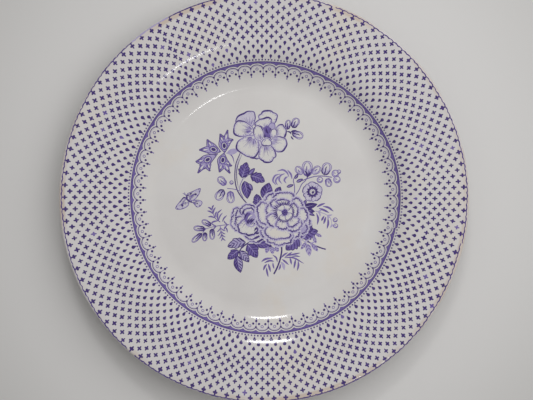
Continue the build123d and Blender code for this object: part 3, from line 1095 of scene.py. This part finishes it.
def draw_sprigs(pen):
    """The buds, berries, grasses and small pale leaves round the flowers."""
    bud(pen, (14.6, 44), (15.9, 50.2), 3.6)
    bud(pen, (18.3, 45.2), (21.6, 51.3), 4.8)
    bud(pen, (18, 42.2), (25, 39.3), 4.8)
    for points in (
        [(17.3, 39.8), (18, 38.6), (19, 37.6)],
        [(16.8, 42.2), (18.6, 43.2), (20.8, 43.6)],
        [(14.2, 43), (16.6, 42.4), (17.4, 41)],
    ):
        pen.dash(points, 0.95, "deep")
    bud(pen, (-24.8, 8.2), (-29.6, 13.2), 4.6, heart="mid")
    bud(pen, (-26.2, 5.2), (-30.8, -1.2), 5.4)
    bud(pen, (-22, 4.4), (-21.6, -3.4), 5, heart="mid")
    berry(pen, (-21.2, 9.8), 1.2)
    sprig(pen, [(-21.5, -17.3), (-27, -17.8), (-33, -18.8), (-38, -20.2)], 3, 4.5, "mid", width=0.8)
    sprig(pen, [(-28.5, -15.8), (-31.5, -13.5), (-33, -10.5), (-33.8, -8)], 4, 5.2, "mid", 55)
    for base, tip, width in (
        ((-34.3, -18), (-40.2, -14.8), 3.4),
        ((-38.2, -20.2), (-45.6, -19.6), 3.4),
        ((-40.2, -23), (-46.6, -28.6), 3.2),
        ((-38.2, -22.4), (-38.6, -28), 3),
        ((-33.8, -20), (-33.6, -27), 3.4),
    ):
        bud(pen, base, tip, width)
    sprig(pen, [(-28.5, -18.4), (-27.8, -22.4), (-27, -26)], 4, 4.2, "mid", width=0.7)
    for points in (
        [(-29.6, -15.2), (-28.8, -12.2), (-27, -9.8)],
        [(-27.2, -15.6), (-26, -13.2), (-24.2, -11.4)],
        [(-31, -12.6), (-29.8, -9.6), (-27.4, -7.6)],
        [(-25.6, -18.6), (-24.2, -20.4), (-23.8, -22.6)],
    ):
        pen.dash(points, 0.85, "mid")
    sprig(pen, [(33, -8.6), (36.5, -9.5), (40.2, -11), (43, -13.6), (43.8, -17.4)], 3, 3.5, "pale")
    for a, b, c in (
        ((34, -6), (36.5, -4.6), (39.4, -3.6)),
        ((35.4, -6.8), (38.6, -8), (42, -9.8)),
        ((38, -5.6), (41.6, -6.4), (44.7, -8.8)),
        ((33.8, -10), (34.9, -13.5), (34.3, -17.4)),
        ((38.8, -11.8), (37.8, -13.4), (37, -15)),
        ((39.8, -12.4), (39.2, -14.6), (38.4, -17)),
        ((41.2, -13.4), (41.4, -16.6), (40.6, -20)),
    ):
        pen.dash([a, b, c], 1.3, "mid")
    berry(pen, (45.9, -14.4), 1.4)
    berry(pen, (46.2, -18.2), 1.4)
    sprig(pen, [(22, -26.6), (26, -28.2), (30, -29.6)], 3, 5, "pale", 60)
    for base, tip, width in (
        ((28, -29.8), (29.4, -38), 4),
        ((31, -30), (34.8, -34.8), 3),
        ((27, -29), (23.6, -33.6), 2.4),
        ((31.6, -24.6), (33.6, -29.6), 2.4),
        ((33.4, -23.4), (37.4, -25.2), 2.2),
        ((2.6, -31.5), (1.2, -36), 3),
        ((5, -31.5), (5.4, -36.6), 3.4),
        ((7.4, -31.5), (9, -35.2), 3),
    ):
        leaf(pen, base, tip, width, fill="pale", rib="mid", edge=0.0, veins=3)
    for points, width, ink in (
        ([(5.5, -39), (1, -39.6), (-1.8, -41.4)], 1.3, "mid"),
        ([(6.2, -41.2), (3.5, -40.7), (0.2, -42.1)], 1.2, "mid"),
        ([(5.5, -37), (7.8, -38.9), (8.5, -41.6)], 1.0, "mid"),
        ([(1.7, -43), (0.3, -44.6), (-0.5, -47)], 1.3, "mid"),
        ([(1.4, -45.2), (1.8, -48), (2.6, -51.2)], 1.2, "mid"),
        ([(2.6, -42.8), (3.3, -45), (4.1, -48)], 1.3, "mid"),
        ([(5.6, -42), (5.8, -44), (6.4, -46)], 1.0, "mid"),
        ([(11, -38.8), (13, -36.8), (15.2, -35.5)], 1.1, "mid"),
        ([(13.5, -38.4), (15.8, -36.8), (18, -35.2)], 1.1, "mid"),
        ([(15, -37.6), (19, -36.6), (23.2, -35.7)], 1.1, "mid"),
        ([(18, -38), (20.5, -37.7), (23.2, -38.1)], 0.9, "mid"),
        ([(13, -38.8), (19, -38.9), (25.6, -42.6)], 1.0, "mid"),
        ([(11.6, -39.8), (13.5, -41.3), (15.8, -43.4)], 1.2, "mid"),
        ([(16.6, -38.8), (17.2, -41), (17.6, -43.2)], 1.2, "mid"),
        ([(20.3, -39.8), (19.8, -42.6), (19.2, -45.8)], 1.2, "mid"),
        ([(22, -41), (22.1, -44), (21.3, -47.2)], 1.2, "mid"),
        ([(10.8, -41.6), (12.4, -43.6), (12.9, -46.8)], 1.9, "pale"),
        ([(10.5, -43), (10.2, -45), (9.3, -46.8)], 1.1, "mid"),
    ):
        pen.dash(points, width, ink)
    bud(pen, (28, 13.4), (27.8, 23.6), 6.6, 4, "mid")
    bud(pen, (24.8, 14.4), (20.8, 20), 4.4, 0, "mid")
    bud(pen, (30.8, 14.8), (36, 20), 4.6, 0, "mid")
    pen.dash([(26.4, 17.4), (27.6, 15.6), (28, 13)], 1.2, "deep")
    pen.dash([(30.2, 16.6), (29, 15.2), (28, 13)], 1.2, "deep")
    bud(pen, (38.6, 14.6), (41.6, 22.4), 6)
    berry(pen, (46, 15.6), 2.3)
    berry(pen, (48.3, 16.8), 1.2)
    berry(pen, (47, 11.7), 2.2)
    bud(pen, (40.8, 12.6), (42.2, 7.2), 4.2, 2, "mid")
    berry(pen, (36, 11.5), 1.9)
    leaf(pen, (20, 12.4), (21.8, 15.4), 1.6, veins=0)
    leaf(pen, (21, 10.2), (24.9, 12), 1.7, veins=0)
    leaf(pen, (14.7, 7), (18.8, 8.3), 1.5, veins=0)
    for points in (
        [(8.5, 17.2), (12, 18), (14.6, 16.4), (16, 13.5)],
        [(15, 18), (17.2, 15.2), (18, 12)],
        [(7.6, 8.3), (5.6, 11), (7, 14.2), (10.4, 15.4)],
        [(11.4, 9), (9.6, 11.6), (10.6, 14.4), (13.4, 15.6)],
        [(14.2, 9.4), (13, 11.2), (14, 13), (15.4, 13.6)],
        [(8.6, 8.2), (7.4, 10.6), (8.6, 13), (10.8, 13.8)],
    ):
        pen.dash(points, 1.4, "pale", spans=6)
        pen.dash(points, 0.6, "mid", spans=6)


def draw_left_rose(pen):
    """A rose turned aside: its petals are furled round a dark heart, the lowest ones one under another."""
    for base, tip, width, lobes, edge in (
        ((-13, -12), (-20.8, -9.4), 7.6, 2, 0.36),
        ((-13, -15), (-21.4, -17.2), 10, 3, 0.34),
        ((-9, -17), (-3.2, -28.4), 10.6, 3, 0.6),
        ((-10, -16), (-5.6, -26.4), 11, 4, 0.62),
        ((-11, -12), (-18.2, -11.4), 8.6, 3, 0.44),
        ((-11, -15), (-18.8, -16.8), 7.6, 3, 0.44),
        ((-8, -12), (-4.4, -7.4), 7.4, 2, 0.44),
        ((-9.6, -13), (-11.6, -4.6), 9.8, 3, 0.5),
        ((-9.4, -13), (-10.6, -6.6), 6.6, 2, 0.5),
        ((-6.6, -15.6), (-2.4, -22.4), 5.6, 2, 0.66),
        ((-9.6, -13.4), (-11.4, -24.2), 12.6, 4, 0.62),
    ):
        petal(pen, base, tip, width, lobes, cast=1.0, hatched=0.95, edge=edge, nick=0.35)
    for turn in np.linspace(-1, 1, 11):
        at = np.array([-18.6 + 1.8 * turn**2, -12.8 - 5.8 * turn])
        pen.area(ellipse(at, (0.5 * pen.random.uniform(0.7, 1.1), 0.42), 60 * turn, 10), "deep")
    heart = [(-13.2, -12.6), (-11.2, -9), (-8, -8.8), (-5.6, -12), (-5.8, -17.6), (-8.6, -19), (-11.8, -17.4)]
    pen.area(smooth(heart, closed=True, spans=4), "pale")
    depth = [(-12.9, -13.6), (-11.4, -9.8), (-8.8, -10), (-10, -13), (-11.2, -16)]
    pen.area(smooth(depth, closed=True, spans=4), "mid")
    for points in (
        [(-12.9, -14.2), (-12, -11.4), (-10.4, -9.6)],
        [(-11.4, -17.4), (-10.6, -15.2), (-9.4, -13.4)],
        [(-10.6, -17.2), (-9.2, -15), (-7.4, -13.2)],
        [(-9.2, -17), (-8, -15.2), (-6.2, -13.6)],
        [(-8, -17.6), (-7.2, -16.6), (-5.8, -17)],
        [(-12.6, -7.6), (-13.6, -9.2), (-14.4, -11.2)],
    ):
        pen.dash(points, 1.05, "deep")
    pen.dash([(-10.8, -14.4), (-9.6, -12.2), (-7.4, -11)], 0.8, None)
    pen.dash([(-9.4, -17.8), (-8, -18), (-6.8, -16)], 0.7, None)
    for points in (
        [(-11.9, -22.8), (-10.4, -24.4), (-7.4, -23.4)],
        [(-6.8, -22.8), (-4.2, -23), (-2.4, -21)],
        [(-6.4, -21.4), (-5.4, -20), (-3.9, -19.2)],
        [(-6.8, -26.6), (-4.4, -25.6), (-2, -23.4)],
        [(-4.8, -28.2), (-1.8, -27.4), (0.4, -25.4)],
    ):
        pen.dash(points, 1.15, "deep")


def draw_big_rose(pen):
    """The full-blown rose, its outer petals first."""
    for base, tip, width, lobes, tint in (
        ((22, -13.5), (29.4, -16.8), 5, 1, None),
        ((21, -16.5), (26.9, -22), 6.4, 1, "pale"),
        ((18.8, -18), (20.2, -26), 5.6, 2, None),
        ((5, -16), (0.6, -26.2), 8.4, 2, None),
        ((4, -10), (-3.2, -19), 8, 2, None),
        ((10, -18), (9.8, -30.6), 16.4, 5, None),
        ((9.4, -15), (9.4, -27), 17.4, 4, None),
        ((6.5, -5.5), (-0.4, -1.2), 6, 2, None),
        ((7.5, -5.5), (3.4, 2), 9, 3, None),
        ((6, -9), (-4.4, -11), 14, 4, None),
        ((13, -4.5), (12.9, 3.4), 13.4, 4, None),
        ((17.6, -6.6), (24, -2.4), 7.6, 2, None),
        ((18.6, -11), (28, -12.4), 9.6, 3, None),
        ((17.2, -12.6), (20.8, -21.4), 9.8, 3, None),
        ((7.8, -8), (1.2, -8), 7, 3, None),
        ((8.8, -6.4), (5.2, -1.8), 5, 2, None),
        ((12, -4.6), (12, -1.2), 8, 3, None),
        ((9, -11), (3.4, -17.4), 8.6, 3, None),
        ((12.4, -13), (11.6, -20.4), 8.4, 3, None),
        ((16, -12), (20.6, -17.8), 7.6, 2, None),
        ((16, -8.6), (21.8, -7.6), 8.4, 3, None),
    ):
        petal(pen, base, tip, width, lobes, tint=tint, cast=1.3, hatched=0.95, edge=0.5, shade=0.8, nick=0.5)
    draw_rose_heart(pen, np.array([13.3, -9.6]))


def draw_rose_heart(pen, heart):
    """The innermost petals round a dotted button, deep in shade on their upper left side."""
    strokes = 34
    for k in range(strokes):
        turn = 360 / strokes * k
        out = heading(turn)
        reach = 6.3 + 1.5 * (0.5 + 0.5 * cos(radians(turn) - radians(140))) * pen.random.uniform(0.7, 1.2)
        pen.line([heart + 4.5 * out, heart + 5.8 * out, heart + reach * out], [1.0, 0.9, 0.15], "deep")
    for k in range(6):
        out = heading(60 * k + 15)
        petal(pen, heart + out * 1.0, heart + out * 5.4, 5.2, 2, cast=0.3, edge=0.4, hatched=0.6, shade=0.3)
    pen.area(ellipse(heart, (2.0, 2.2), 0, 16), "mid")
    for k in range(7):
        pen.area(ellipse(heart + 1.35 * heading(51 * k), (0.55, 0.42), 51 * k, 10), "deep")
    pen.area(ellipse(heart, (0.7, 0.6), 0, 10), "deep")


def draw_small_flower(pen):
    """A small flower of five petals round a dotted ring."""
    centre = np.array([31.2, 3.8])
    for k in range(5):
        out = heading(72 * k + 20)
        foot, tip = centre + out, centre + out * 6.4
        petal(pen, foot, tip, 7.4, 3, cast=0.35, edge=0.36, hatched=0.95, depth=0.24, tint="wash")
    pen.area(ellipse(centre, (3.3, 3.2), 0, 24), "deep")
    for k in range(12):
        pen.area(ellipse(centre + 3.4 * heading(30 * k), (0.55, 0.42), 30 * k, 10), "deep")
    pen.area(ellipse(centre, (1.9, 1.8), 0, 20), None)
    for k in range(8):
        out = heading(45 * k)
        pen.line([centre + 0.9 * out, centre + 2.1 * out], [0.15, 0.45], "mid")
    pen.area(ellipse(centre + (0.3, -0.3), (0.9, 0.75), 60, 12), "deep")


def draw_top_flower(pen):
    """The open flower at the top, with three small petals folded over its heart."""
    for base, tip, width, lobes, tint in (
        ((2.5, 45.5), (2.4, 56.4), 11.6, 3, None),
        ((-9, 45.5), (-14, 54.8), 13, 2, "wash"),
        ((6.4, 42.2), (14.2, 43), 9, 3, None),
        ((4.6, 37.6), (13.8, 32.4), 9.8, 1, None),
        ((-7, 43.4), (-20.2, 45.4), 9.8, 2, None),
        ((-4, 37.5), (-6.4, 24.8), 8.6, 2, None),
        ((0.4, 35.5), (3, 22.8), 10.6, 3, None),
        ((-6.6, 40), (-13.4, 27.2), 14.4, 2, None),
        ((1, 44), (-1.6, 51.3), 10.8, 2, None),
    ):
        petal(pen, base, tip, width, lobes, tint=tint, cast=0.4, edge=0.7, hatched=0.95, shade=0.9)
    pen.area(ellipse((5, 46.3), (2.1, 2.1)), "pale")
    pen.line(ellipse((5, 46.3), (2.1, 2.1)), 0.4, "mid", closed=True)
    pen.area(ellipse((2, 42), (3.0, 4.4), 10, 24), "mid")
    for points in (
        [(3.6, 45.4), (4.3, 43.4), (3.2, 42)],
        [(-0.6, 42.4), (0.2, 40), (0.6, 38.2)],
        [(0.2, 38.4), (2.6, 38.6), (4.6, 37.8)],
        [(1.2, 45), (1.6, 43), (2.6, 41.4)],
    ):
        pen.dash(points, 1.3, "deep")
    petal(pen, (-3.0, 37.0), (-4.4, 46.6), 6.4, 1, cast=0.4, edge=0.5, hatched=0.6, egg=0.05)
    petal(pen, (5.6, 38.6), (6.6, 44.4), 4.0, 1, cast=0.4, edge=0.45, hatched=0.5)
    petal(pen, (1.6, 38.4), (1.5, 33.3), 6.4, 2, cast=0.5, edge=0.5, hatched=0.5)


def draw_butterfly(pen):
    """Three wings, their spots, the body and the feelers."""
    for root, corners in (
        ((-46.4, -2.4), [(-48.6, -2), (-46, -3.4), (-43.6, -6), (-41.4, -5.4), (-40.2, -3), (-42.6, -1.6)]),
        ((-49.8, -1.6), [(-50.2, -0.8), (-52.6, -0.4), (-54.6, -2.6), (-57.2, -6.2), (-56.4, -7.5),
                         (-52.8, -7.2), (-49.4, -5.2), (-48.8, -2.4)]),
        ((-49.4, -0.8), [(-50, -0.4), (-49.9, 2.3), (-46.6, 3.9), (-41.8, 6), (-41.4, 4.6), (-42.8, 1.4),
                         (-45.4, -1.4), (-48.4, -1.8)]),
    ):
        draw_wing(pen, root, corners)
    for spot, radii in (
        ((-53, -5), (0.7, 0.9)),
        ((-44.4, 2.2), (0.75, 0.65)),
        ((-47.6, 2.5), (0.8, 0.55)),
        ((-49.1, 1.7), (0.5, 0.5)),
        ((-43.3, -3.8), (0.5, 0.4)),
    ):
        pen.area(ellipse(spot, radii, 20, 12), "deep")
    pen.line(smooth([(-46.6, -3), (-48.6, -2.3), (-50, -0.8), (-50.2, 0.8), (-49.6, 1.9)]), 0.85, "deep")
    pen.dash([(-50.1, -0.2), (-52.2, 0.1), (-53.8, -2.4)], 0.7, "deep")
    for tip in ((-52.9, 3.0), (-51.6, 3.7)):
        pen.dash([(-50.2, 1), (-51, 1.9), tip], 0.5, "mid")


def draw_wing(pen, root, corners):
    """A wing with veins from its root and a hatched edge."""
    outline = smooth(corners, closed=True, spans=4)
    root = np.array(root)
    pen.area(outline, "wash")
    pen.area(root + (outline - root) * 0.72, None)
    for corner in outline[1::2]:
        start, end = pen.random.uniform(0.1, 0.3), pen.random.uniform(0.5, 0.8)
        pen.dash([root + (corner - root) * start, root + (corner - root) * end], 0.34, "mid", spans=3)
        pen.line([corner, root + (corner - root) * end], [0.4, 0.1], "pale")
    pen.line(outline, 0.42, "mid", closed=True)
    for corner in corners[2:-2]:
        pen.area(ellipse(root + (corner - root) * 0.93, (0.4, 0.35), 0, 8), "deep")


# ---- The pieces ----

glaze = glaze_material()
for name, path, rippled in (
    ("face_glaze", FACE_PATH, True),
    ("back_glaze", BACK_PATH, False),
    ("base_glaze", BASE_PATH, False),
):
    shell = turned_shell(f"{name}_coat", path, GLAZE, rippled)
    shell.data.materials.append(glaze)
    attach(shell, "root")
    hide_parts(name)

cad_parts["plate_body"].material_slots[0].material = body_material()

for number, node in enumerate(STRIPS):
    pen = Drawing(seed=number)
    for draw in (draw_spots, draw_edge_line, draw_beads, draw_band, draw_arches):
        draw(pen, node)
    lay_print(pen, node.replace("transfer", "print"), node)

pen = Drawing(seed=10)
draw_bouquet(pen)
lay_print(pen, "bouquet_print", "bouquet_transfer")

pen = Drawing(seed=11)
draw_butterfly(pen)
lay_print(pen, "butterfly_print", "butterfly_transfer")


# ---- Studio ----

FLOOR_REACH = 3.0  # metres each way
ROOM_COLOUR, ROOM_LIGHT = (1.0, 0.985, 0.97, 1.0), 0.36
CAMERA_PLACE = (0.00146, -0.00149, 0.822)  # metres; it looks straight down
CAMERA_LENS, CAMERA_SENSOR = 85.0, 36.0


def lay_floor():
    """The floor that the plate stands on."""
    mesh = bpy.data.meshes.new("floor")
    corners = [(-1, -1), (1, -1), (1, 1), (-1, 1)]
    mesh.from_pydata([(x * FLOOR_REACH, y * FLOOR_REACH, 0.0) for x, y in corners], [], [(0, 1, 2, 3)])
    floor = bpy.data.objects.new("floor", mesh)
    bpy.context.scene.collection.objects.link(floor)
    mesh.materials.append(floor_material())


def lamp(name, polar, azimuth, distance, size, watts, mirrored=True):
    """A soft box that faces the plate, that many degrees off the vertical, towards an angle in plan."""
    data = bpy.data.lights.new(name, "AREA")
    data.shape = "RECTANGLE"
    data.size, data.size_y = size
    data.energy = watts
    made = bpy.data.objects.new(name, data)
    tilt, turn = radians(polar), radians(azimuth)
    direction = Vector((sin(tilt) * cos(turn), sin(tilt) * sin(turn), cos(tilt)))
    made.location = direction * distance
    made.rotation_euler = direction.to_track_quat("Z", "Y").to_euler()
    made.visible_glossy = mirrored
    bpy.context.scene.collection.objects.link(made)


def light_room():
    """The even light of the room, from every side, with tones shown as they are."""
    world = bpy.data.worlds.new("studio")
    world.use_nodes = True
    background = world.node_tree.nodes["Background"]
    background.inputs["Color"].default_value = ROOM_COLOUR
    background.inputs["Strength"].default_value = ROOM_LIGHT
    bpy.context.scene.world = world
    bpy.context.scene.view_settings.view_transform = "Standard"


def place_camera():
    """The camera over the plate."""
    data = bpy.data.cameras.new("camera")
    data.lens = CAMERA_LENS
    data.sensor_width = CAMERA_SENSOR
    camera = bpy.data.objects.new("camera", data)
    camera.location = CAMERA_PLACE
    bpy.context.scene.collection.objects.link(camera)
    bpy.context.scene.camera = camera


lay_floor()
# The two windows are mirrored in the glaze as the small highlights. The soft light isn't.
lamp("near_window", 10, -61, 1.5, (0.085, 0.04), 0.26)
lamp("far_window", 38.5, 92.5, 1.5, (0.27, 0.14), 2.3)
lamp("soft_top", 31, 38, 0.87, (0.9, 0.9), 4.5, mirrored=False)
light_room()
place_camera()
